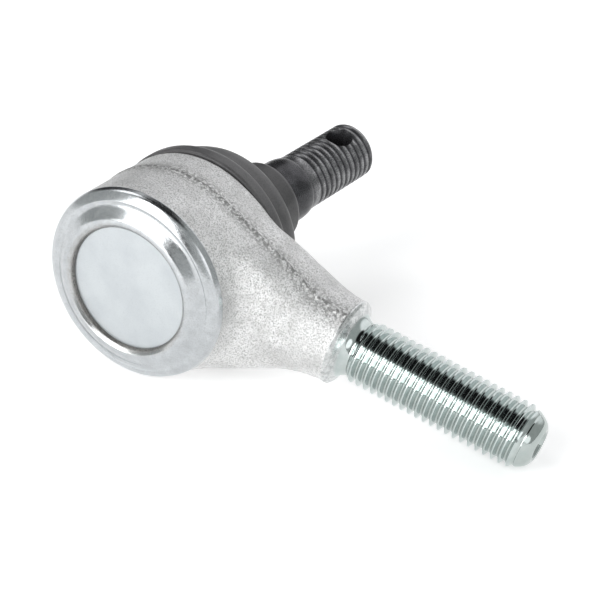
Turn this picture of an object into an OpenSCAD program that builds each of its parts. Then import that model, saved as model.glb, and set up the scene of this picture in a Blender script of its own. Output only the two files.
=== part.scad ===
// Rod end bearing for a steering linkage: a forged housing on a left-hand
// threaded shank, and a ball stud that tilts and turns under a rubber dust boot.
// Millimetres. Origin at the centre of the ball. +X runs out along the shank,
// +Y along the axis of the socket towards the stud, and +Z is up.

/* [Threads] */
// Major diameter of the housing's left-hand shank thread
shank_d = 12; // [11:0.1:12.4]
// Major diameter of the ball stud's right-hand thread
stud_d = 11.8; // [11:0.1:12]
// Pitch of both threads
pitch = 1.5; // [1.25:0.25:1.75]

/* [Housing] */
// Diameter of the forged head
head_d = 36.8; // [36:0.2:40]
// Distance from the ball's centre to the machined rim of the head
head_front = 14.5; // [14.3:0.1:15]
// Distance from the ball's centre to the head's back face
head_back = 4.6; // [4:0.1:5]
// Distance from the ball's centre to the tip of the shank
shank_end = 75.3; // [70:0.1:85]
// Distance from the ball's centre to the first crest of the shank thread
shank_thread_start = 40.44; // [40.4:0.01:44]
// Diameter of the round collar where the neck meets the shank
collar_d = 16.6; // [15.6:0.1:17]

/* [Socket] */
// Diameter of the ball
ball_d = 19; // [18:0.1:19]
// Bore of the head that holds the two seats
bore_d = 24; // [23.6:0.1:24.4]
// Diameter of the pressed-in cap
cap_d = 26; // [25.6:0.1:26.4]
// Thickness of the cap
cap_t = 2; // [1.5:0.1:2.2]
// Depth of the cap's outer face below the ball's centre
cap_face = 16.8; // [16.6:0.1:17]

/* [Ball stud] */
// Tilt of the stud from the socket's axis at rest
stud_tilt = 13; // [0:0.5:13]
// Distance from the ball's centre to the stud's tip
stud_end = 51; // [49:0.5:55]
// Diameter of the plain seat that carries the steering arm
stud_plain_d = 13.1; // [12.6:0.1:13.6]
// Distance from the ball's centre to the cotter pin hole
cotter_at = 45.1; // [43:0.1:46]
// Diameter of the cotter pin hole
cotter_d = 4; // [3:0.1:4.2]
// Turn of the cotter pin hole about the stud's axis
cotter_turn = -1; // [-90:1:90]

/* [Boot] */
// Outside diameter of the boot's base band
boot_base_d = 37.4; // [37:0.1:38]
// Outside diameter of the boot's shoulder
boot_shoulder_d = 30; // [29.6:0.1:31]

/* [Hidden] */
$fn = 96;

head_r = head_d / 2;
collar_r = collar_d / 2;
ball_r = ball_d / 2;
bore_r = bore_d / 2;
cap_r = cap_d / 2;
plain_r = stud_plain_d / 2;
land_r = plain_r - 0.35;
fit_gap = 0.05;

// Thread form: crest flats an eighth of the pitch wide, roots a quarter
thread_depth = 0.613 * pitch;
crest_half = pitch / 16;
root_half = pitch / 8;

// Places along the head's axis, which is Y
cap_inner = -cap_face + cap_t;
boss_r = 15.2;
boss_top = 8.6;
throat_r = 8.9;
throat_y = 5.6;
mouth_r = 11.6;
seat_wall = 1.6;
seat_r = ball_r + seat_wall;
seat_mouth = 58;
cap_shown_r = cap_r - 1.3;
rim_lip_y = -18;
rim_groove_y = -16.4;
rim_corner_y = -15.5;
plate_back = -12.9;
plate_t = 0.8;
plate_r = 8;
spring_hole_r = 3.2;
spring_outer_r = 10.2;
spring_t = 0.8;
flash_y = -3.4;
flash_w = 1.2;
flash_h = 0.3;
spot_gap = 0.3;

// Forged neck: half height, front face and back face at stations along X
neck_x = [6, 10, 14, 18.5, 23.5, 28, 32, 35];
neck_front = [-13, -12.5, -12, -11, -9.5, -8.6, -8.2, -7.9];
neck_back = [5, 5, 5.5, 6.5, 7.3, 8.1, 8.2, 7.9];
neck_points = 32;

// Places along the shank, which is X
collar_x = 34.6;
ridge_x = 36.3;
undercut_r = 5.25;
undercut_x = [39.0, 39.8];
nose_x = 71.9;
nose_r = 4.2;
drill_r = 1.7;

// Boot outline: [radius, height, share of the stud's tilt that the ring's
// centre follows, share that its plane follows]
boot_base_r = boot_base_d / 2;
boot_shoulder_r = boot_shoulder_d / 2;
boot_outer = [
    [boot_base_r - 0.3, 4.8, 0, 0], [boot_base_r, 5.1, 0, 0],
    [boot_base_r, 7.2, 0, 0], [boot_base_r - 0.4, 8.4, 0.05, 0.1],
    [boot_base_r - 1.2, 9.4, 0.15, 0.3], [boot_shoulder_r + 2.2, 10.4, 0.25, 0.35],
    [boot_shoulder_r + 1.6, 12.2, 0.5, 0.45], [boot_shoulder_r + 0.9, 13.6, 0.7, 0.5],
    [boot_shoulder_r, 14.45, 0.82, 0.5], [boot_shoulder_r - 1, 14.7, 0.85, 0.55],
    [12, 15.1, 0.9, 0.6], [10.2, 16, 0.95, 0.8], [8.7, 17.6, 1, 1], [8.2, 19.5, 1, 1],
    [8.2, 24.1, 1, 1], [7.8, 24.8, 1, 1], [7.2, 25.15, 1, 1],
];
boot_inner = [
    [land_r + 0.15, 25.15, 1, 1], [land_r + 0.15, 19.5, 1, 1], [7.4, 17, 1, 0.9],
    [10.2, 14.6, 0.95, 0.7], [boot_shoulder_r - 1.8, 13.3, 0.85, 0.55],
    [boot_shoulder_r - 0.4, 12.2, 0.7, 0.5], [boot_shoulder_r + 0.6, 10.6, 0.4, 0.4],
    [16.4, 9.6, 0.15, 0.2], [boss_r + 0.9, 8.9, 0, 0], [boss_r + 0.9, 4.8, 0, 0],
];
boot_steps = 48;

// A point of the boot at angle a round its ring o
function tilt_axis() = [1, 0, -1] / sqrt(2);
function turned(p, k, a) =
    p * cos(a) + cross(k, p) * sin(a) + k * (k * p) * (1 - cos(a));
function boot_point(o, a) =
    turned([0, o[1], 0], tilt_axis(), o[2] * stud_tilt)
    + turned([o[0] * cos(a), 0, o[0] * sin(a)], tilt_axis(), o[3] * stud_tilt);

// Rounded-square section of the neck: squarer near the head, round at the collar
function neck_share(x) = min(1, max(0, (collar_x + 0.4 - x) / 25));
function neck_height(x) = 8.0 + 7 * pow(neck_share(x), 2) * (3 - 2 * neck_share(x));
function bowed(v, e) = sign(v) * pow(abs(v), e);
function neck_point(i, a) =
    let (
        x = neck_x[i],
        e = 2 / (2 + 2.4 * neck_share(x)),
        mid = (neck_front[i] + neck_back[i]) / 2,
        half = (neck_back[i] - neck_front[i]) / 2
    ) [x, mid + half * bowed(cos(a), e), neck_height(x) * bowed(sin(a), e)];

// Turns a profile drawn as [radius, distance] about the Y axis or the X axis
module about_y() {
    rotate([-90, 0, 0]) rotate_extrude() children();
}
module about_x() {
    rotate([0, 90, 0]) rotate_extrude() children();
}
module on_stud() {
    rotate(a = stud_tilt, v = [1, 0, -1]) children();
}

// Skins closed rings of points, which all have the same count
module skin(rings, closed_loop) {
    n = len(rings[0]);
    m = len(rings);
    last = closed_loop ? m : m - 1;
    sides = [for (j = [0:last - 1]) for (i = [0:n - 1]) let (
        a = j * n + i,
        b = j * n + (i + 1) % n,
        c = ((j + 1) % m) * n + (i + 1) % n,
        d = ((j + 1) % m) * n + i
    ) each [[a, b, c], [a, c, d]]];
    ends = closed_loop ? [] : [
        [for (i = [n - 1:-1:0]) i],
        [for (i = [0:n - 1]) (m - 1) * n + i],
    ];
    polyhedron([for (ring = rings) each ring], concat(sides, ends), convexity = 6);
}

// Ring grooves of the thread form, from distance a to b along Z
module thread_grooves(r, a, b) {
    turns = floor((b - a) / pitch);
    for (i = [0:turns - 1])
        translate([0, 0, a + i * pitch])
            rotate_extrude()
                polygon([
                    [r - thread_depth, pitch / 2 - root_half],
                    [r + 0.2, crest_half - 0.06],
                    [r + 0.2, pitch - crest_half + 0.06],
                    [r - thread_depth, pitch / 2 + root_half],
                ]);
}

module head_blank() {
    about_y() polygon([
        [0, rim_lip_y + 0.6], [cap_shown_r + 0.25, rim_lip_y + 0.6], [cap_r - 0.25, rim_lip_y],
        [cap_r + 0.6, rim_lip_y + 0.1], [cap_r + 1.5, rim_groove_y - 0.9],
        [cap_r + 2.5, rim_groove_y - 0.2], [cap_r + 3.1, rim_groove_y],
        [cap_r + 3.5, rim_groove_y - 0.15], [cap_r + 4.2, rim_corner_y - 0.7],
        [head_r - 0.3, rim_corner_y], [head_r, -head_front],
        [head_r, flash_y - flash_w / 2], [head_r + flash_h, flash_y - flash_w / 2 + 0.2],
        [head_r + flash_h, flash_y + flash_w / 2 - 0.2], [head_r, flash_y + flash_w / 2],
        [head_r, head_back - 0.9], [head_r - 0.9, head_back],
        [boss_r, head_back], [boss_r, boss_top], [0, boss_top],
    ]);
}

module head_bore() {
    about_y() polygon([
        [0, rim_lip_y - 1], [cap_shown_r, rim_lip_y - 1], [cap_shown_r, -cap_face],
        [cap_r, -cap_face], [cap_r, cap_inner], [bore_r, cap_inner], [bore_r, 1.2],
        [seat_r + 0.1, 2.2], [throat_r, throat_y], [mouth_r, boss_top + 0.01],
        [mouth_r, boss_top + 1], [0, boss_top + 1],
    ]);
}

module neck() {
    difference() {
        skin([for (i = [0:len(neck_x) - 1])
            [for (j = [0:neck_points - 1]) neck_point(i, -j * 360 / neck_points)]], false);
        boot_spot_face();
    }
}

// Round recess in the back of the neck that leaves room for the boot's foot
module boot_spot_face() {
    translate([0, head_back, 0])
        rotate([-90, 0, 0]) cylinder(h = 10, r = boot_base_r + spot_gap);
}

module shank() {
    crest = shank_d / 2;
    difference() {
        about_x() polygon([
            [0, 20], [7.2, 20], [7.2, 31], [collar_r - 0.5, collar_x - 1.2], [collar_r, collar_x],
            [collar_r, ridge_x], [7.8, ridge_x + 0.6], [6.9, ridge_x + 1],
            [6.1, ridge_x + 1.5], [undercut_r, undercut_x[0]], [undercut_r, undercut_x[1]],
            [crest, shank_thread_start + 0.2], [crest, nose_x], [5.1, nose_x + 1.6],
            [nose_r, shank_end - 0.9], [nose_r - 1, shank_end], [0, shank_end],
        ]);
        rotate([0, 90, 0])
            thread_grooves(crest, shank_thread_start, nose_x);
        translate([shank_end - 1.5, 0, 0])
            rotate([0, 90, 0]) cylinder(h = 2.5, r1 = 0, r2 = drill_r / 1.5 * 2.5);
        translate([shank_end - 3, 0, 0])
            rotate([0, 90, 0]) cylinder(h = 2.5, r = 0.6);
    }
}

module housing() {
    color("silver") difference() {
        union() {
            head_blank();
            neck();
            shank();
        }
        head_bore();
    }
}

module cap_plate() {
    color("lightsteelblue") about_y() polygon([
        [0, -cap_face], [cap_r - fit_gap, -cap_face], [cap_r - fit_gap, cap_inner - fit_gap],
        [bore_r - 1.7, cap_inner - fit_gap], [bore_r - 2.3, cap_inner - 0.7],
        [0, cap_inner - 0.7],
    ]);
}

// Rubber ring that seals the cap, in the corner of the bore
module cap_seal() {
    color("dimgray") rotate([-90, 0, 0])
        rotate_extrude() translate([bore_r - 0.75, cap_inner + 0.75]) circle(r = 0.7, $fn = 32);
}

// Coned spring washer that loads the seats against the ball
module preload_spring() {
    color("gray") about_y() polygon([
        [spring_hole_r, plate_back - 0.1 - spring_t], [spring_outer_r, cap_inner],
        [spring_outer_r, cap_inner + spring_t], [spring_hole_r, plate_back - 0.1],
    ]);
}

module pressure_plate() {
    color("gray") about_y() polygon([
        [0, plate_back], [plate_r, plate_back], [plate_r, plate_back + plate_t],
        [0, plate_back + plate_t],
    ]);
}

// Acetal cup under the ball, split from the upper seat at the ball's centre
module lower_seat() {
    color("ivory") difference() {
        about_y() polygon([
            [0, -12.0], [bore_r - 2, -12.0], [bore_r - fit_gap, -10],
            [bore_r - fit_gap, -0.3], [0, -0.3],
        ]);
        sphere(r = ball_r + fit_gap);
    }
}

// Acetal ring over the ball's upper half, held by the throat of the housing
module upper_seat() {
    color("ivory") difference() {
        about_y() polygon([
            [bore_r - 4, 0], [bore_r - fit_gap, 0], [bore_r - fit_gap, 1.15],
            [seat_r + 0.02, 2.15], [throat_r - 0.1, throat_y - 0.05],
            [(ball_r + 0.4) * sin(seat_mouth), (ball_r + 0.4) * cos(seat_mouth)],
            [ball_r * sin(seat_mouth) - 0.1, ball_r * cos(seat_mouth)],
        ]);
        sphere(r = ball_r + fit_gap);
    }
}

// Steel ring moulded into the foot of the boot, which grips the boss
module boot_base_insert() {
    color("gray") about_y() polygon([
        [boss_r + fit_gap, head_back + 0.3], [boss_r + 0.75, head_back + 0.3],
        [boss_r + 0.75, 8.2], [boss_r + fit_gap, 8.2],
    ]);
}

// Round snap ring that ties the boot's foot down from inside its groove
module boot_base_ring() {
    color("gray") rotate([-90, 0, 0])
        rotate_extrude() translate([boot_base_d / 2 - 1.3, 6.6]) circle(r = 0.5, $fn = 32);
}

module dust_boot() {
    rings = [for (o = concat(boot_outer, boot_inner))
        [for (i = [0:boot_steps - 1]) boot_point(o, i * 360 / boot_steps)]];
    color("dimgray") difference() {
        skin(rings, true);
        boot_base_ring();
        boot_neck_ring();
    }
}

// Wire ring moulded into the boot's lip, which holds it closed on the stud
module boot_neck_ring() {
    color("gray") on_stud() rotate([-90, 0, 0])
        rotate_extrude() translate([land_r + 1, 23.4]) circle(r = 0.35, $fn = 32);
}

module ball_stud() {
    crest = stud_d / 2;
    neck_r = 5;
    color("darkslategray") on_stud() difference() {
        union() {
            sphere(r = ball_r);
            rotate([-90, 0, 0]) rotate_extrude() polygon([
                [0, 0], [neck_r, 0], [neck_r, 12.6], [land_r - 0.2, 16.2], [land_r, 16.8],
                [land_r, 25.4], [plain_r, 25.7], [plain_r, 29.5], [plain_r - 0.15, 30.6], [crest + 0.2, 31.9],
                [crest, 32.2], [crest, stud_end - 1.2], [crest - 0.8, stud_end],
                [0, stud_end],
            ]);
        }
        rotate([-90, 0, 0]) thread_grooves(crest, 37.4, stud_end - 0.6);
        rotate([0, cotter_turn, 0]) translate([0, cotter_at, 0]) {
            cylinder(h = 20, r = cotter_d / 2, center = true);
            for (side = [0, 180])
                rotate([0, side, 0]) translate([0, 0, crest - 0.9])
                    cylinder(h = 2, r1 = cotter_d / 2, r2 = cotter_d / 2 + 2);
        }
    }
}

housing();
cap_plate();
cap_seal();
preload_spring();
pressure_plate();
lower_seat();
upper_seat();
boot_base_insert();
boot_base_ring();
dust_boot();
boot_neck_ring();
ball_stud();
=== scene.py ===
import math

import bmesh
import bpy
import numpy as np
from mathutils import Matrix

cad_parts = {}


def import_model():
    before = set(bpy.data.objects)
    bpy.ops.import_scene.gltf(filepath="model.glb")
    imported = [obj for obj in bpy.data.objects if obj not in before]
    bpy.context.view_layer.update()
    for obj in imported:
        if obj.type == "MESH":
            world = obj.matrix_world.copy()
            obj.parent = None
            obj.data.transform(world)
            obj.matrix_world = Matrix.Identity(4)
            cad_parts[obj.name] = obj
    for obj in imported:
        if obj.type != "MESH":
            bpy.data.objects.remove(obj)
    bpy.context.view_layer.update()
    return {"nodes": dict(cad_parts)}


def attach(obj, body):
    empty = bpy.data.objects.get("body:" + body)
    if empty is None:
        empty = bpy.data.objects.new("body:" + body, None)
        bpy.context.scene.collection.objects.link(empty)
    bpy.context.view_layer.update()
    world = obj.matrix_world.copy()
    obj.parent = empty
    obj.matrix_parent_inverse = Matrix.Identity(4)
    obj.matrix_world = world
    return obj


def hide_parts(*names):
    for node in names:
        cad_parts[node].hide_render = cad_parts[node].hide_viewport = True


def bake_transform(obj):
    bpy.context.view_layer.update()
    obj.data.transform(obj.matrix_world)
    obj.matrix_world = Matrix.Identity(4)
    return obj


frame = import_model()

import openvdb
from mathutils import Matrix, Vector

# Sizes are in millimetres and angles in degrees, unless a comment says metres. In names, R is a
# radius, and X, Y and S are places along the shank's, the socket's and the stud's axis.
MM = 0.001
TURN = 2 * math.pi
STEPS = 144
CORNER_STEPS = 7

# Metres: points nearer than WELD are joined, and edges shorter than TINY are removed
WELD = 2e-6
TINY = 1e-6

# Housing, along the socket's axis Y and the shank's axis X
HEAD_R = 18.4
HEAD_EDGE = 1.1
RIM_Y = -14.5
BACK_Y = 4.6
BOSS_R = 15.2
BOSS_Y = 8.6
SPOT_R = 19.0
CAP_Y = -16.8
CAP_SHOWN_R = 11.7
NECK_X = 4
NECK_HALF = 8.15
NECK_RISE = 6.85
NECK_FILLET = 3.2
COLLAR_X = 34.6
RIDGE_X = 36.3
COLLAR_R = 8.25
VOXEL = 0.3
VOXEL_LOW = (-20.0, -16.5, -20.0)
VOXEL_HIGH = (38.0, 10.0, 20.0)

# Flash line of the forging's die
FLASH_Y = -3.4
FLASH_PROUD = 0.22
FLASH_HALF = 0.25
FLASH_FILLET = 0.45

# Socket inside the head: bore, ball cavity and a mouth that is a cone
BORE_R = 12.0
BORE_END_Y = 1.2
CAVITY_R = 11.2
CAVITY_END_Y = 6
MOUTH_R = 8.9
MOUTH_Y = 5.6
MOUTH_SLOPE = 0.9
MOUTH_START_Y = 3

# Threads, their depth as a metric thread has it, and the stud
PITCH = 1.5
THREAD_DEPTH = 0.613 * PITCH
SHANK_R = 6.0
SHANK_ROOT_R = 5.3
SHANK_PHASE = 0.44
SHANK_END = 75.3
STUD_R = 5.9
STUD_PHASE = 0.3
STUD_END = 51.0
SEAT_R = 6.55
LAND_R = 6.2
BALL_R = 9.5
STUD_SHARP = 35
COTTER_S = 45.1
COTTER_R = 2.0
COTTER_TURN = -1
COTTER_SINK = 2.2
COTTER_FLARE = 0.45
COTTER_REACH = 9

# Rest pose of the stud: tilted halfway between +X and +Z
STUD_TILT = 13
TILT_AXIS = Vector((1, 0, -1)).normalized()

# Boot, and the stretch of the stud's axis over which its skin bends
FOOT_R = 18.7
FOOT_Y = 4.75
FOOT_WIDTH = 1.6
SHOULDER_R = 15.0
LIP_R = 8.2
LIP_BORE_R = LAND_R + 0.06


# ---------------------------------------------------------------- outlines
def rounded(points):
    """A polyline whose corners are rounded; each point is (values..., rounding distance)."""
    places = [np.array(point[:-1], float) for point in points]
    out = [places[0]]
    for before, here, after, point in zip(places, places[1:], places[2:], points[1:]):
        reach = point[-1]
        if reach <= 0:
            out.append(here)
            continue
        back, ahead = before - here, after - here
        back_length, ahead_length = np.linalg.norm(back[:2]), np.linalg.norm(ahead[:2])
        start = here + back / back_length * min(reach, back_length / 2)
        end = here + ahead / ahead_length * min(reach, ahead_length / 2)
        for t in np.linspace(0, 1, CORNER_STEPS):
            out.append((1 - t) ** 2 * start + 2 * t * (1 - t) * here + t * t * end)
    out.append(places[-1])
    return np.array(out)


def smooth_step(x, low, high):
    t = np.clip((x - low) / (high - low), 0, 1)
    return t * t * (3 - 2 * t)


# ------------------------------------------------------------------ meshes
def closed_mesh(name, points, faces):
    """An object from points in millimetres, with its seams joined and its faces turned outward."""
    mesh = bpy.data.meshes.new(name)
    mesh.from_pydata((np.asarray(points) * MM).tolist(), [], [list(f) for f in faces])
    work = bmesh.new()
    work.from_mesh(mesh)
    bmesh.ops.remove_doubles(work, verts=work.verts, dist=WELD)
    bmesh.ops.dissolve_degenerate(work, edges=work.edges, dist=TINY)
    bmesh.ops.recalc_face_normals(work, faces=work.faces)
    work.to_mesh(mesh)
    work.free()
    obj = bpy.data.objects.new(name, mesh)
    bpy.context.scene.collection.objects.link(obj)
    return obj


def piece(name, points, faces, body, replaced=(), sharp=None):
    """A smooth-shaded piece of the object, riding on a CAD body if one is named."""
    obj = closed_mesh(name, points, faces)
    mesh = obj.data
    mesh.polygons.foreach_set("use_smooth", [True] * len(mesh.polygons))
    if sharp:
        mesh.set_sharp_from_angle(angle=math.radians(sharp))
    mesh.update()
    if body:
        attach(obj, body)
    if replaced:
        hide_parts(*replaced)
    return obj


def grid_faces(rows, columns, shift=0):
    """Quads of a grid that closes round its columns; the seam joins rows shift apart."""
    faces = []
    for row in range(rows - 1):
        for column in range(columns):
            beside = (column + 1) % columns
            across = row + (shift if beside == 0 else 0)
            if 0 <= across < rows - 1:
                near, far = row * columns + column, across * columns + beside
                faces.append((near, near + columns, far + columns, far))
    return faces


def ring_points(axial, radial):
    """Points of rings about +Z, for arrays of one row per ring and one column per angle."""
    angle = np.arange(STEPS)[None] / STEPS * TURN
    x, y = radial * np.cos(angle), radial * np.sin(angle)
    return np.stack([x, y, axial + 0 * x], -1).reshape(-1, 3)


def lathe(profile):
    """Rings for an outline of (distance along the axis, radius)."""
    return ring_points(profile[:, :1], profile[:, 1:2]), grid_faces(len(profile), STEPS)


def thread(start, end, crest, hand, phase, envelope, fade):
    """A helical thread about +Z from start to end, kept inside the envelope's radius."""
    # one groove, as shares of the pitch and of the depth
    form = ((0.07, 0), (0.1, 0.06), (0.35, 0.88), (0.41, 0.97), (0.5, 1),
            (0.59, 0.97), (0.65, 0.88), (0.9, 0.06), (0.93, 0))
    turns = int((end - start) / PITCH) + 4
    rows = [(start - 2 * PITCH + (n + at) * PITCH, depth) for n in range(turns) for at, depth in form]
    along = np.array([r[0] for r in rows])[:, None] + phase
    depth = np.array([r[1] for r in rows])[:, None]
    lead = hand * PITCH * np.arange(STEPS)[None] / STEPS
    axial = np.clip(along + lead, start, end)
    cut = THREAD_DEPTH * depth * fade(axial)
    radial = np.minimum(crest - cut, envelope(axial))
    return ring_points(axial, radial), grid_faces(len(rows), STEPS, shift=hand * len(form))


def joined(*parts):
    points, faces, count = [], [], 0
    for p, f in parts:
        points.append(p)
        faces += [tuple(i + count for i in face) for face in f]
        count += len(p)
    return np.concatenate(points), faces


def about_x(points):
    return points[:, [2, 0, 1]]


def about_y(points):
    return points[:, [1, 2, 0]]


def stud_turn(share=1):
    """Rotation by a share of the stud's tilt at rest."""
    return Matrix.Rotation(math.radians(STUD_TILT * share), 3, TILT_AXIS)


def on_stud(points):
    return about_y(points) @ np.array(stud_turn()).T


# ------------------------------------------------------------------- pieces
def neck_outline(x):
    """Half height, front face and back face of the forged neck at distance x."""
    share = smooth_step(COLLAR_X + 0.4 - x, 0, 25)
    height = NECK_HALF + NECK_RISE * share
    stations = [6, 14, 18.5, 23.5, 28, 32, 35, 37]
    front = np.interp(x, stations, [-13, -12, -11, -9.5, -8.6, -8.25, -8.15, -8.15])
    back = np.interp(x, stations, [5, 5.5, 6.6, 7.6, 8.3, 8.35, 8.15, 8.15])
    return share, height, front, back


def blend_of(a, b, reach):
    """Smooth union of two distance fields."""
    h = np.clip(0.5 + 0.5 * (b - a) / reach, 0, 1)
    return b * (1 - h) + a * h - reach * h * (1 - h)


def head_field(y, radius):
    """Distance field of the head, a cylinder with a rounded back edge."""
    out_r, out_y = radius - (HEAD_R - HEAD_EDGE), y - (BACK_Y - HEAD_EDGE)
    head = np.sqrt(np.maximum(out_r, 0) ** 2 + np.maximum(out_y, 0) ** 2) - HEAD_EDGE
    return head + np.minimum(np.maximum(out_r, out_y), 0)


def neck_field(x, y, z):
    """Distance field of the neck, a rounded square near the head and round at the collar."""
    share, height, front, back = neck_outline(x)
    power = 2 + 2.2 * share
    half = (back - front) / 2
    across = np.abs((y - (front + back) / 2) / half)
    up = np.abs(z / height)
    neck = ((across**power + up**power) ** (1 / power) - 1) * np.minimum(half, height)
    return np.maximum(neck, NECK_X - x)


def socket_field(y, radius):
    """Distance field of the bore, the ball's cavity and the mouth that the stud leaves by."""
    bore = np.maximum(radius - BORE_R, y - BORE_END_Y)
    cavity = np.maximum(np.sqrt(radius**2 + y * y) - CAVITY_R, y - CAVITY_END_Y)
    mouth = np.maximum(radius - MOUTH_R - (y - MOUTH_Y) * MOUTH_SLOPE, MOUTH_START_Y - y)
    return np.minimum(np.minimum(bore, cavity), mouth)


def forging_field():
    """Distance field of the forged head, neck and collar on a grid of voxels."""
    axes = [np.arange(low, high, VOXEL, dtype=np.float32)
            for low, high in zip(VOXEL_LOW, VOXEL_HIGH)]
    x, y, z = np.meshgrid(*axes, indexing="ij", sparse=True)
    radius = np.sqrt(x * x + z * z)
    solid = blend_of(head_field(y, radius), neck_field(x, y, z), NECK_FILLET)

    # flat seat for the boot's foot, with the boss standing in it
    boss = np.maximum(np.maximum(radius - BOSS_R, y - BOSS_Y), -y)
    solid = np.maximum(solid, -np.maximum(radius - SPOT_R, BACK_Y - y))
    solid = np.minimum(solid, boss)

    # thin flash line left by the two halves of the die
    flash = np.maximum(solid - FLASH_PROUD, np.abs(y - FLASH_Y) - FLASH_HALF)
    solid = blend_of(solid, flash, FLASH_FILLET)
    return np.maximum(solid, -socket_field(y, radius)).astype(np.float32)


def forging():
    """The forging's surface, cut off where the turned rim and the turned shank begin."""
    grid = openvdb.FloatGrid(background=5.0)
    grid.copyFromArray(np.ascontiguousarray(forging_field()))
    points, triangles, quads = grid.convertToPolygons(isovalue=0.0, adaptivity=0.0)
    points = np.array(points) * VOXEL + np.array(VOXEL_LOW)
    faces = [tuple(q) for q in quads] + [tuple(t) for t in triangles]
    obj = piece("housing_forging", points, faces, "housing", ["housing"])
    trim = bmesh.new()
    trim.from_mesh(obj.data)
    for place, outward in (((0, RIM_Y * MM, 0), (0, -1, 0)), ((RIDGE_X * MM, 0, 0), (1, 0, 0))):
        everything = trim.verts[:] + trim.edges[:] + trim.faces[:]
        bmesh.ops.bisect_plane(trim, geom=everything, plane_co=place, plane_no=outward,
                               clear_outer=True)
    bmesh.ops.smooth_vert(trim, verts=[v for v in trim.verts if not v.is_boundary],
                          factor=0.4, use_axis_x=True, use_axis_y=True, use_axis_z=True)
    trim.to_mesh(obj.data)
    trim.free()
    obj.data.update()
    return obj


def machined_rim():
    """The turned front of the head and the lip rolled over the cap."""
    outline = rounded([
        (RIM_Y + 0.5, 18.1, 0), (RIM_Y, 18.46, 0.12), (-15.5, 18.1, 0.4), (-16.2, 17.2, 0.6),
        (-16.55, 16.5, 0.2), (-16.4, 16.1, 0.25), (-16.6, 15.5, 0.3), (-17.3, 14.5, 0.5),
        (-17.9, 13.6, 0.4), (-18.0, 12.75, 0.3), (-17.4, 11.95, 0.15),
        (CAP_Y, CAP_SHOWN_R, 0.1), (CAP_Y + 0.3, 12.6, 0),
    ])
    points, faces = lathe(outline)
    return piece("housing_rim", about_y(points), faces, "housing", sharp=50)


def shank():
    """Turned cone, undercut, left-hand thread and centre-drilled nose."""
    start, end = 39.5, 74.0
    cone = lathe(rounded([
        (RIDGE_X - 0.35, COLLAR_R - 0.7, 0), (RIDGE_X - 0.15, COLLAR_R + 0.02, 0.15),
        (RIDGE_X + 0.15, COLLAR_R - 0.05, 0.12), (36.9, 7.75, 0.3), (37.3, 6.9, 0.4),
        (37.8, 6.1, 0.5), (38.4, 5.62, 0.5), (39.1, SHANK_ROOT_R, 0.3), (start, SHANK_ROOT_R, 0),
    ]))

    def envelope(x):
        rise = SHANK_ROOT_R + (x - start) * 0.75
        nose = np.interp(x, [70.9, 71.6, 72.4, 73.2, end], [6.05, 5.9, 5.6, 5.2, 4.72])
        return np.minimum(np.minimum(rise, SHANK_R), nose)

    def fade(x):
        return smooth_step(x, start, start + 1.2)

    turned = thread(start, end, SHANK_R, -1, SHANK_PHASE, envelope, fade)
    nose = lathe(rounded([
        (end, 4.72, 0), (74.6, 4.3, 0.4), (75.05, 3.7, 0.4), (SHANK_END, 3.1, 0.15),
        (75.15, 2.65, 0.1), (73.4, 1.5, 0.1), (72.6, 1.1, 0.1), (72.2, 0.0, 0),
    ]))
    points, faces = joined(cone, turned, nose)
    return piece("housing_shank", about_x(points), faces, "housing", sharp=35)


def cap():
    """The pressed disc in the front of the head."""
    outline = rounded([
        (CAP_Y + 1.6, 0, 0), (CAP_Y + 1.6, BORE_R, 0.1), (CAP_Y + 0.1, BORE_R, 0.1),
        (CAP_Y + 0.02, CAP_SHOWN_R, 0.2), (CAP_Y, CAP_SHOWN_R - 0.4, 0.3), (CAP_Y, 0, 0),
    ])
    points, faces = lathe(outline)
    return piece("cap_disc", about_y(points), faces, "housing", ["cap_plate"], sharp=40)


def ball_stud():
    """Ball, neck, plain seat and right-hand thread, with the cotter hole cut through."""
    start, end = 31.2, 50.6
    pole = [(-BALL_R * math.cos(a), BALL_R * math.sin(a), 0)
            for a in np.linspace(0, math.pi - 0.56, 40)]
    plain = lathe(rounded(pole + [
        (9.4, 5.0, 0.8), (12.6, 5.0, 1.2), (16.4, LAND_R, 0.5), (25.3, LAND_R, 0.1),
        (25.6, SEAT_R, 0.1), (29.3, SEAT_R, 0.8), (30.6, 6.35, 0.6), (start, 6.1, 0),
    ]))

    def envelope(s):
        shoulder = np.interp(s, [start, 31.9, 32.6, 33.4], [6.1, 5.98, 5.92, STUD_R])
        tip = np.interp(s, [49.6, 50.1, end], [5.95, 5.7, 5.2])
        return np.minimum(shoulder, tip)

    def fade(s):
        return smooth_step(s, start, start + 2.4)

    cut = thread(start, end, SEAT_R, 1, STUD_PHASE, envelope, fade)
    tip = lathe(rounded([(end, 5.2, 0), (STUD_END, 4.7, 0.3), (STUD_END, 0, 0)]))
    points, faces = joined(plain, cut, tip)
    obj = piece("ball_stud_body", on_stud(points), faces, "stud",
                ["ball_stud"], sharp=STUD_SHARP)
    drill(obj)
    return obj


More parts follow.
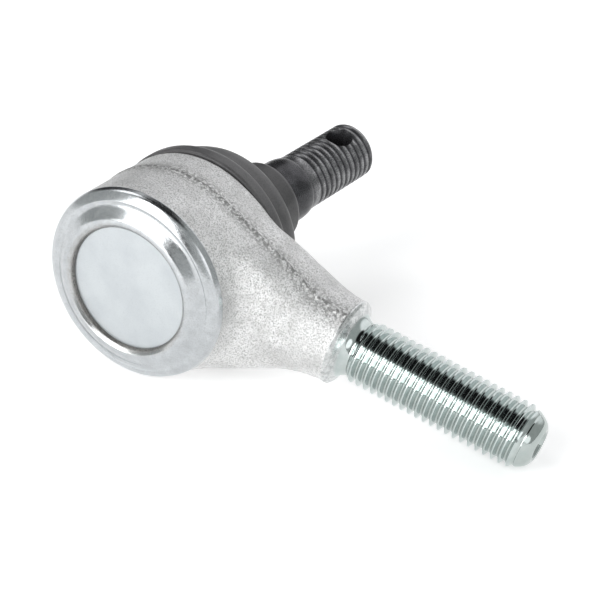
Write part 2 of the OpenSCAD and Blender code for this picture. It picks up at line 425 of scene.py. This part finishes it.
def drill(obj):
    """Cuts the countersunk cotter hole through the stud."""
    sink = STUD_R - COTTER_SINK
    flare = COTTER_R + COTTER_FLARE * (COTTER_REACH - sink)
    points, faces = lathe(np.array([
        (-COTTER_REACH, 0), (-COTTER_REACH, flare), (-sink, COTTER_R), (sink, COTTER_R),
        (COTTER_REACH, flare), (COTTER_REACH, 0),
    ], float))
    spin = Matrix.Rotation(math.radians(COTTER_TURN), 3, "Y")
    place = np.array(stud_turn() @ spin)
    centre = np.array(stud_turn() @ Vector((0, COTTER_S, 0)))
    cutter = closed_mesh("cotter_tool", points @ place.T + centre, faces)
    bore = obj.modifiers.new("cotter", "BOOLEAN")
    bore.object = cutter
    bore.operation = "DIFFERENCE"
    bore.solver = "EXACT"
    bpy.context.view_layer.update()
    seen = obj.evaluated_get(bpy.context.evaluated_depsgraph_get())
    cut = bpy.data.meshes.new_from_object(seen)
    obj.modifiers.remove(bore)
    obj.data = cut
    obj.data.set_sharp_from_angle(angle=math.radians(STUD_SHARP))
    bpy.data.objects.remove(cutter)


def boot():
    """Rubber boot: rings whose centre and plane follow shares of the stud's tilt."""
    # radius, height, share of the tilt that moves the ring, share that leans it, rounding
    outer = [
        (FOOT_R - FOOT_WIDTH, FOOT_Y, 0, 0, 0), (FOOT_R - 0.3, FOOT_Y, 0, 0, 0.2),
        (FOOT_R, 5.2, 0, 0, 0.2), (FOOT_R, 7.3, 0, 0, 0.4), (FOOT_R - 0.4, 8.4, 0.05, 0.1, 0.3),
        (FOOT_R - 1.15, 9.3, 0.15, 0.3, 0.15), (SHOULDER_R + 2.3, 10.2, 0.25, 0.35, 0.5),
        (SHOULDER_R + 1.7, 12.2, 0.5, 0.45, 0.7), (SHOULDER_R + 0.8, 13.75, 0.72, 0.5, 0.7),
        (SHOULDER_R, 14.45, 0.82, 0.5, 0.25), (SHOULDER_R - 0.9, 14.6, 0.85, 0.55, 0.3),
        (12, 15, 0.9, 0.6, 0.8), (10.2, 15.9, 0.95, 0.8, 0.8), (8.75, 17.6, 1, 1, 0.8),
        (LIP_R, 19.6, 1, 1, 0.8), (LIP_R, 24.1, 1, 1, 0.3), (7.7, 24.85, 1, 1, 0.3),
        (7.0, 25.2, 1, 1, 0.2), (LIP_BORE_R, 25.1, 1, 1, 0.1),
    ]
    inner = [
        (LIP_BORE_R, 19.5, 1, 1, 0.3), (7.9, 17.4, 1, 0.95, 0.6), (10.6, 14.9, 0.95, 0.7, 0.6),
        (SHOULDER_R - 1.8, 13.3, 0.85, 0.55, 0.5), (SHOULDER_R - 0.4, 12.2, 0.7, 0.5, 0.5),
        (SHOULDER_R + 0.6, 10.6, 0.4, 0.4, 0.5), (16.2, 9.6, 0.15, 0.2, 0.3),
        (16.1, 8.9, 0.05, 0.05, 0.2), (16.1, FOOT_Y, 0, 0, 0), (FOOT_R - FOOT_WIDTH, FOOT_Y, 0, 0, 0),
    ]
    outline = rounded(outer + inner)
    points = []
    for radius, height, follow, lean in outline:
        centre = np.array(stud_turn(follow) @ Vector((0, height, 0)))
        ring = about_y(ring_points(np.zeros((1, 1)), np.full((1, 1), radius)))
        points.append(ring @ np.array(stud_turn(lean)).T + centre)
    faces = grid_faces(len(outline), STEPS)
    obj = piece("dust_boot_skin", np.concatenate(points), faces, None,
                ["dust_boot"], sharp=50)
    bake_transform(obj)
    return obj


# ---------------------------------------------------------------- materials
# Places of the two colours and of the result among the sockets of Blender's Mix node
MIX_FIRST, MIX_SECOND, MIX_RESULT = 6, 7, 2


class Shader:
    """Short calls for building one material's nodes; coordinates are millimetres."""

    def __init__(self, name):
        self.material = bpy.data.materials.new(name)
        self.material.use_nodes = True
        self.tree = self.material.node_tree
        self.surface = self.tree.nodes["Principled BSDF"]
        where = self.tree.nodes.new("ShaderNodeTexCoord")
        scaled = self.tree.nodes.new("ShaderNodeVectorMath")
        scaled.operation = "SCALE"
        scaled.inputs["Scale"].default_value = 1 / MM
        self.link(where.outputs["Object"], scaled.inputs[0])
        self.place = scaled.outputs[0]

    def link(self, a, b):
        self.tree.links.new(a, b)

    def put(self, socket, value):
        if isinstance(value, bpy.types.NodeSocket):
            self.link(value, socket)
        elif isinstance(value, (tuple, list)) and len(value) == 3 and socket.type == "RGBA":
            socket.default_value = (*value, 1)
        else:
            socket.default_value = value

    def set(self, **values):
        for key, value in values.items():
            self.put(self.surface.inputs[key.replace("_", " ")], value)

    def noise(self, scale, detail=4, rough=0.55):
        node = self.tree.nodes.new("ShaderNodeTexNoise")
        node.inputs["Scale"].default_value = scale
        node.inputs["Detail"].default_value = detail
        node.inputs["Roughness"].default_value = rough
        self.link(self.place, node.inputs["Vector"])
        return node.outputs["Fac"]

    def math(self, operation, a, b=0.0):
        node = self.tree.nodes.new("ShaderNodeMath")
        node.operation = operation
        self.put(node.inputs[0], a)
        self.put(node.inputs[1], b)
        return node.outputs[0]

    def map(self, value, low, high, to_low=0.0, to_high=1.0):
        node = self.tree.nodes.new("ShaderNodeMapRange")
        for socket, v in zip(node.inputs[:5], (value, low, high, to_low, to_high)):
            self.put(socket, v)
        return node.outputs[0]

    def mix(self, share, a, b):
        node = self.tree.nodes.new("ShaderNodeMix")
        node.data_type = "RGBA"
        self.put(node.inputs[0], share)
        self.put(node.inputs[MIX_FIRST], a)
        self.put(node.inputs[MIX_SECOND], b)
        return node.outputs[MIX_RESULT]

    def bump(self, height, strength, distance, below=None):
        node = self.tree.nodes.new("ShaderNodeBump")
        node.inputs["Strength"].default_value = strength
        node.inputs["Distance"].default_value = distance * MM
        self.link(height, node.inputs["Height"])
        if below:
            self.link(below, node.inputs["Normal"])
        return node.outputs["Normal"]

    def axis_radius(self, axis):
        """Distance from a line through the origin, for turning marks, the painted shade ring at the
        cap, and the crests' wear and painted highlight.
        """
        cross = self.tree.nodes.new("ShaderNodeVectorMath")
        cross.operation = "CROSS_PRODUCT"
        self.link(self.place, cross.inputs[0])
        cross.inputs[1].default_value = axis
        length = self.tree.nodes.new("ShaderNodeVectorMath")
        length.operation = "LENGTH"
        self.link(cross.outputs[0], length.inputs[0])
        return length.outputs["Value"]

    def along(self, axis):
        """Distance along a line through the origin."""
        dot = self.tree.nodes.new("ShaderNodeVectorMath")
        dot.operation = "DOT_PRODUCT"
        self.link(self.place, dot.inputs[0])
        dot.inputs[1].default_value = axis
        return dot.outputs["Value"]


def forged_zinc():
    """Rough plated forging: pale grain, grey patches, and painted shade in the crease at the flash
    line and in a broader band beside it.
    """
    paint = Shader("forged_zinc")
    grain = paint.noise(3.6, detail=4, rough=0.62)
    pits = paint.noise(1.7, detail=3, rough=0.55)
    broad = paint.noise(0.2, detail=3)
    patch = paint.noise(0.16, detail=5, rough=0.6)
    colour = paint.mix(paint.map(grain, 0.38, 0.54), (0.43, 0.43, 0.425), (0.84, 0.84, 0.84))
    colour = paint.mix(paint.map(patch, 0.45, 0.62, 0, 0.4), colour, (0.42, 0.42, 0.415))
    parting = paint.math("ABSOLUTE", paint.math("SUBTRACT", paint.along((0, 1, 0)), FLASH_Y))
    # Painted shade: a dark, speckled line in the crease along the flash line
    crease = paint.map(parting, 0.12, 0.5, 1, 0)
    crease_shade = paint.math("MULTIPLY", crease, paint.map(pits, 0.42, 0.58, 0.1, 0.8))
    colour = paint.mix(crease_shade, colour, (0.11, 0.11, 0.11))
    # Painted shade: a broader, patchy darker band on both sides of the flash line
    beside = paint.map(parting, 0.3, 2.6, 1, 0)
    shade_beside_flash = paint.math("MULTIPLY", beside, paint.map(pits, 0.44, 0.56, 0, 0.9))
    colour = paint.mix(shade_beside_flash, colour, (0.24, 0.24, 0.235))
    paint.set(Base_Color=colour, Metallic=0.7, Roughness=paint.map(grain, 0.3, 0.7, 0.5, 0.3))
    low = paint.bump(broad, 0.5, 1.2)
    mid = paint.bump(pits, 0.6, 0.2, low)
    paint.set(Normal=paint.bump(grain, 1.0, 0.2, mid))
    return paint.material


def machined_zinc():
    """Bright turned rim, with dust on the lip and a black ring of painted shade where its lip meets
    the cap.
    """
    paint = Shader("machined_zinc")
    radius = paint.axis_radius((0, 1, 0))
    stain = paint.noise(0.5, detail=4)
    turning = paint.math("SINE", paint.math("MULTIPLY", radius, 38))
    speck = paint.noise(5, detail=3, rough=0.65)
    colour = paint.mix(paint.map(stain, 0.35, 0.7), (0.56, 0.58, 0.595), (0.46, 0.48, 0.495))
    colour = paint.mix(paint.map(speck, 0.5, 0.66, 0, 0.45), colour, (0.31, 0.31, 0.305))
    at_cap, on_lip = paint.map(radius, 11.95, 12.3, 1, 0), paint.map(radius, 12.1, 13.1, 1, 0)
    # Painted shade: a black ring where the lip meets the cap, also less metallic and rougher there
    painted_shade_ring = paint.math("MULTIPLY", at_cap, paint.map(speck, 0.4, 0.58, 1, 0.35))
    dust = paint.math("MULTIPLY", on_lip, paint.map(speck, 0.4, 0.6, 0.1, 0.6))
    colour = paint.mix(dust, colour, (0.36, 0.33, 0.29))
    colour = paint.mix(painted_shade_ring, colour, (0.05, 0.046, 0.042))
    paint.set(Base_Color=colour, Metallic=paint.map(painted_shade_ring, 0, 1, 1, 0.3))
    polish = paint.map(paint.noise(2.5), 0.3, 0.7, 0.15, 0.26)
    paint.set(Roughness=paint.math("ADD", polish, paint.map(painted_shade_ring, 0, 1, 0, 0.3)))
    ripple = paint.bump(paint.noise(1.6, detail=4, rough=0.65), 0.22, 0.07)
    paint.set(Normal=paint.bump(turning, 0.12, 0.006, ripple))
    return paint.material


def cap_zinc():
    """Dull, slightly blue plating with fine specks."""
    paint = Shader("cap_zinc")
    cloud = paint.noise(0.16, detail=4)
    fine = paint.noise(6, detail=3, rough=0.6)
    colour = paint.mix(paint.map(cloud, 0.35, 0.65), (0.51, 0.54, 0.56), (0.57, 0.60, 0.615))
    colour = paint.mix(paint.map(fine, 0.56, 0.68, 0, 0.5), colour, (0.40, 0.42, 0.43))
    paint.set(Base_Color=colour, Metallic=0.9, Roughness=paint.map(fine, 0.3, 0.7, 0.36, 0.48))
    paint.set(Normal=paint.bump(fine, 0.12, 0.02))
    return paint.material


def thread_zinc():
    """Glossy greenish plating on the thread, duller and mottled on the cone beside it."""
    paint = Shader("thread_zinc")
    radius = paint.axis_radius((1, 0, 0))
    stain = paint.noise(0.7, detail=4)
    colour = paint.mix(paint.map(stain, 0.35, 0.65), (0.53, 0.575, 0.565), (0.46, 0.515, 0.505))
    colour = paint.mix(paint.map(radius, 5.1, 5.5, 0.4, 0), colour, (0.34, 0.38, 0.36))
    cone = paint.map(radius, 6.05, 6.5)
    blotch = paint.map(paint.noise(1.3, detail=5), 0.4, 0.62)
    mottle = paint.mix(blotch, (0.68, 0.69, 0.69), (0.46, 0.475, 0.475))
    colour = paint.mix(cone, colour, mottle)
    polish = paint.map(paint.noise(3.0), 0.3, 0.7, 0.05, 0.11)
    rough = paint.math("ADD", polish, paint.math("MULTIPLY", cone, 0.2))
    paint.set(Base_Color=colour, Metallic=1.0, Roughness=rough)
    paint.set(Normal=paint.bump(paint.noise(2.2, detail=4), 0.12, 0.03))
    return paint.material


def phosphate():
    """Black phosphate, with lighter steel on the crests of the stud's thread: partly wear, partly a
    painted highlight.
    """
    paint = Shader("phosphated_steel")
    stud_axis = tuple(stud_turn() @ Vector((0, 1, 0)))
    radius = paint.axis_radius(stud_axis)
    stain = paint.noise(0.6, detail=5)
    fine = paint.noise(5, detail=3)
    colour = paint.mix(paint.map(stain, 0.35, 0.7), (0.034, 0.034, 0.037), (0.07, 0.07, 0.075))
    threaded = paint.map(paint.along(stud_axis), 31, 33)
    crest = paint.math("MULTIPLY", paint.map(radius, 5.7, 5.9), threaded)
    # Lighter steel on the thread's crests: partly wear of the phosphate, partly a painted highlight
    # for the crests' glints
    wear_and_glint = paint.math("MULTIPLY", crest, paint.map(stain, 0.4, 0.6, 0.3, 0.8))
    colour = paint.mix(wear_and_glint, colour, (0.36, 0.36, 0.365))
    paint.set(Base_Color=colour, Metallic=0.65, Roughness=paint.map(fine, 0.3, 0.7, 0.2, 0.34))
    paint.set(Normal=paint.bump(fine, 0.15, 0.03))
    return paint.material


def boot_rubber():
    """Black rubber with a little dust on it."""
    paint = Shader("boot_rubber")
    fine = paint.noise(4, detail=4, rough=0.65)
    dust = paint.noise(0.5, detail=5)
    colour = paint.mix(paint.map(fine, 0.35, 0.7), (0.050, 0.049, 0.050), (0.085, 0.083, 0.085))
    colour = paint.mix(paint.map(dust, 0.45, 0.7, 0, 0.35), colour, (0.13, 0.128, 0.13))
    paint.set(Base_Color=colour, Roughness=paint.map(dust, 0.3, 0.7, 0.34, 0.5))
    paint.set(Normal=paint.bump(fine, 0.2, 0.04))
    return paint.material


def seal_rubber():
    """Clean black rubber inside the head."""
    paint = Shader("seal_rubber")
    fine = paint.noise(6, detail=3)
    colour = paint.mix(paint.map(fine, 0.35, 0.7), (0.02, 0.02, 0.02), (0.04, 0.04, 0.04))
    paint.set(Base_Color=colour, Roughness=paint.map(fine, 0.3, 0.7, 0.4, 0.55))
    paint.set(Normal=paint.bump(fine, 0.15, 0.02))
    return paint.material


def spring_steel():
    """Bare steel of the spring, the plate and the boot's rings."""
    paint = Shader("spring_steel")
    fine = paint.noise(3, detail=4)
    colour = paint.mix(paint.map(fine, 0.35, 0.7), (0.36, 0.36, 0.37), (0.48, 0.47, 0.46))
    paint.set(Base_Color=colour, Metallic=1.0, Roughness=paint.map(fine, 0.3, 0.7, 0.25, 0.4))
    paint.set(Normal=paint.bump(fine, 0.15, 0.02))
    return paint.material


def acetal():
    """Off-white plastic of the two seats."""
    paint = Shader("acetal")
    fine = paint.noise(1.5, detail=4)
    colour = paint.mix(paint.map(fine, 0.35, 0.7), (0.78, 0.76, 0.68), (0.86, 0.84, 0.77))
    paint.set(Base_Color=colour, Roughness=paint.map(fine, 0.3, 0.7, 0.3, 0.45))
    paint.set(Normal=paint.bump(fine, 0.1, 0.03))
    return paint.material


def dress(obj, material):
    obj.data.materials.clear()
    obj.data.materials.append(material)


# ------------------------------------------------------------------- stage
# The camera looks at the ball's centre, then moves aside in its own plane by CAMERA_SHIFT.
CAMERA_AZIMUTH = 21.912
CAMERA_ELEVATION = 33.942
CAMERA_ROLL = 15.455
CAMERA_DISTANCE = 279.782
CAMERA_SHIFT = (22.198, -8.735)
CAMERA_LENS = 90
SENSOR_WIDTH = 36
KEY_AIM = (20, 5, 0)

# Metres from the floor's middle to each of its sides
FLOOR_REACH = 6

# Where the shank's tip touches the floor, along X
TIP_CONTACT_X = 71.5


def camera_axes():
    """The camera's right, up and back directions."""
    turn, rise, roll = (math.radians(v) for v in (CAMERA_AZIMUTH, CAMERA_ELEVATION, CAMERA_ROLL))
    level = Vector((math.cos(turn), math.sin(turn), 0))
    back = Vector((math.sin(turn) * math.cos(rise), -math.cos(turn) * math.cos(rise), math.sin(rise)))
    upright = back.cross(level)
    right = math.cos(roll) * level + math.sin(roll) * upright
    return right, -math.sin(roll) * level + math.cos(roll) * upright, back


def camera():
    right, up, back = camera_axes()
    data = bpy.data.cameras.new("camera")
    data.lens, data.sensor_width = CAMERA_LENS, SENSOR_WIDTH
    data.clip_start, data.clip_end = 0.01, 20
    obj = bpy.data.objects.new("camera", data)
    place = (back * CAMERA_DISTANCE + right * CAMERA_SHIFT[0] + up * CAMERA_SHIFT[1]) * MM
    obj.matrix_world = Matrix.Translation(place) @ Matrix((right, up, back)).transposed().to_4x4()
    bpy.context.scene.collection.objects.link(obj)
    bpy.context.scene.camera = obj


def floor_normal():
    """The part lies on the head's side and the shank's tip, so the floor is tilted to it."""
    lean = math.asin((HEAD_R - SHANK_R) / TIP_CONTACT_X)
    return Vector((-math.sin(lean), 0, math.cos(lean)))


def floor_white():
    """White floor that gives off a little light and can be seen through from below."""
    material = bpy.data.materials.new("floor_white")
    material.use_nodes = True
    tree = material.node_tree
    surface = tree.nodes["Principled BSDF"]
    surface.inputs["Base Color"].default_value = (0.9, 0.9, 0.9, 1)
    surface.inputs["Roughness"].default_value = 0.6
    surface.inputs["Emission Color"].default_value = (1, 1, 1, 1)
    surface.inputs["Emission Strength"].default_value = 0.4
    clear = tree.nodes.new("ShaderNodeBsdfTransparent")
    side_of = tree.nodes.new("ShaderNodeNewGeometry")
    choose = tree.nodes.new("ShaderNodeMixShader")
    tree.links.new(side_of.outputs["Backfacing"], choose.inputs[0])
    tree.links.new(surface.outputs[0], choose.inputs[1])
    tree.links.new(clear.outputs[0], choose.inputs[2])
    tree.links.new(choose.outputs[0], tree.nodes["Material Output"].inputs["Surface"])
    return material


def floor():
    normal = floor_normal()
    along, across = Vector((normal.z, 0, -normal.x)) * FLOOR_REACH, Vector((0, 1, 0)) * FLOOR_REACH
    centre = -normal * HEAD_R * MM
    corners = [centre + along * x + across * y for x, y in ((-1, -1), (1, -1), (1, 1), (-1, 1))]
    mesh = bpy.data.meshes.new("floor")
    mesh.from_pydata([tuple(c) for c in corners], [], [(0, 1, 2, 3)])
    mesh.materials.append(floor_white())
    obj = bpy.data.objects.new("floor", mesh)
    bpy.context.scene.collection.objects.link(obj)


def area_light(name, direction, distance, size, power):
    """A soft square light that faces the part from direction, in camera axes and metres."""
    right, up, back = camera_axes()
    aim = Vector(KEY_AIM) * MM
    way = (right * direction[0] + up * direction[1] + back * direction[2]).normalized()
    data = bpy.data.lights.new(name, "AREA")
    data.shape, data.size, data.energy = "SQUARE", size, power
    obj = bpy.data.objects.new(name, data)
    obj.location = aim + way * distance
    obj.rotation_euler = way.to_track_quat("Z", "Y").to_euler()
    bpy.context.scene.collection.objects.link(obj)


def world():
    """Grey room with a lit back wall, three dark panels and three soft boxes."""
    data = bpy.data.worlds.new("studio")
    bpy.context.scene.world = data
    data.use_nodes = True
    tree = data.node_tree
    where = tree.nodes.new("ShaderNodeTexCoord").outputs["Generated"]
    # each is a direction, the cosines where it starts and is full, and its colour
    lobes = (
        ((-0.1, 0.75, 0.65), 0.70, 0.85, (1.3, 1.3, 1.32)),
        ((-0.75, 0.55, 0.35), 0.88, 0.95, (0.05, 0.05, 0.055)),
        ((-0.15, -0.93, 0.28), 0.91, 0.955, (0.03, 0.03, 0.03)),
        ((-0.2, -0.1, 0.97), 0.80, 0.93, (0.015, 0.015, 0.016)),
        ((-0.68, -0.02, 0.65), 0.965, 0.98, (2.6, 2.6, 2.62)),
        ((-0.36, -0.72, 0.60), 0.976, 0.986, (4.4, 4.4, 4.42)),
        ((0.70, -0.58, 0.42), 0.95, 0.975, (1.8, 1.8, 1.82)),
    )
    shade = (0.5, 0.52, 0.515)
    for axis, low, high, colour in lobes:
        dot = tree.nodes.new("ShaderNodeVectorMath")
        dot.operation = "DOT_PRODUCT"
        dot.inputs[1].default_value = Vector(axis).normalized()
        tree.links.new(where, dot.inputs[0])
        edge = tree.nodes.new("ShaderNodeMapRange")
        edge.interpolation_type = "SMOOTHSTEP"
        edge.inputs["From Min"].default_value = low
        edge.inputs["From Max"].default_value = high
        tree.links.new(dot.outputs["Value"], edge.inputs[0])
        mix = tree.nodes.new("ShaderNodeMix")
        mix.data_type = "RGBA"
        tree.links.new(edge.outputs[0], mix.inputs[0])
        if isinstance(shade, tuple):
            mix.inputs[MIX_FIRST].default_value = (*shade, 1)
        else:
            tree.links.new(shade, mix.inputs[MIX_FIRST])
        mix.inputs[MIX_SECOND].default_value = (*colour, 1)
        shade = mix.outputs[MIX_RESULT]
    tree.links.new(shade, tree.nodes["Background"].inputs["Color"])


def stage():
    camera()
    floor()
    world()
    area_light("key", direction=(-0.8, 0.05, 0.9), distance=0.6, size=0.4, power=2.0)
    view = bpy.context.scene.view_settings
    view.view_transform = "Standard"
    view.look = "None"


# ---------------------------------------------------------------- assembly
stage()
dress(forging(), forged_zinc())
dress(machined_rim(), machined_zinc())
dress(shank(), thread_zinc())
dress(cap(), cap_zinc())
dress(ball_stud(), phosphate())
dress(boot(), boot_rubber())
steel, plastic = spring_steel(), acetal()
for node in ("preload_spring", "pressure_plate", "boot_base_insert", "boot_base_ring",
             "boot_neck_ring"):
    dress(frame["nodes"][node], steel)
for node in ("lower_seat", "upper_seat"):
    dress(frame["nodes"][node], plastic)
dress(frame["nodes"]["cap_seal"], seal_rubber())
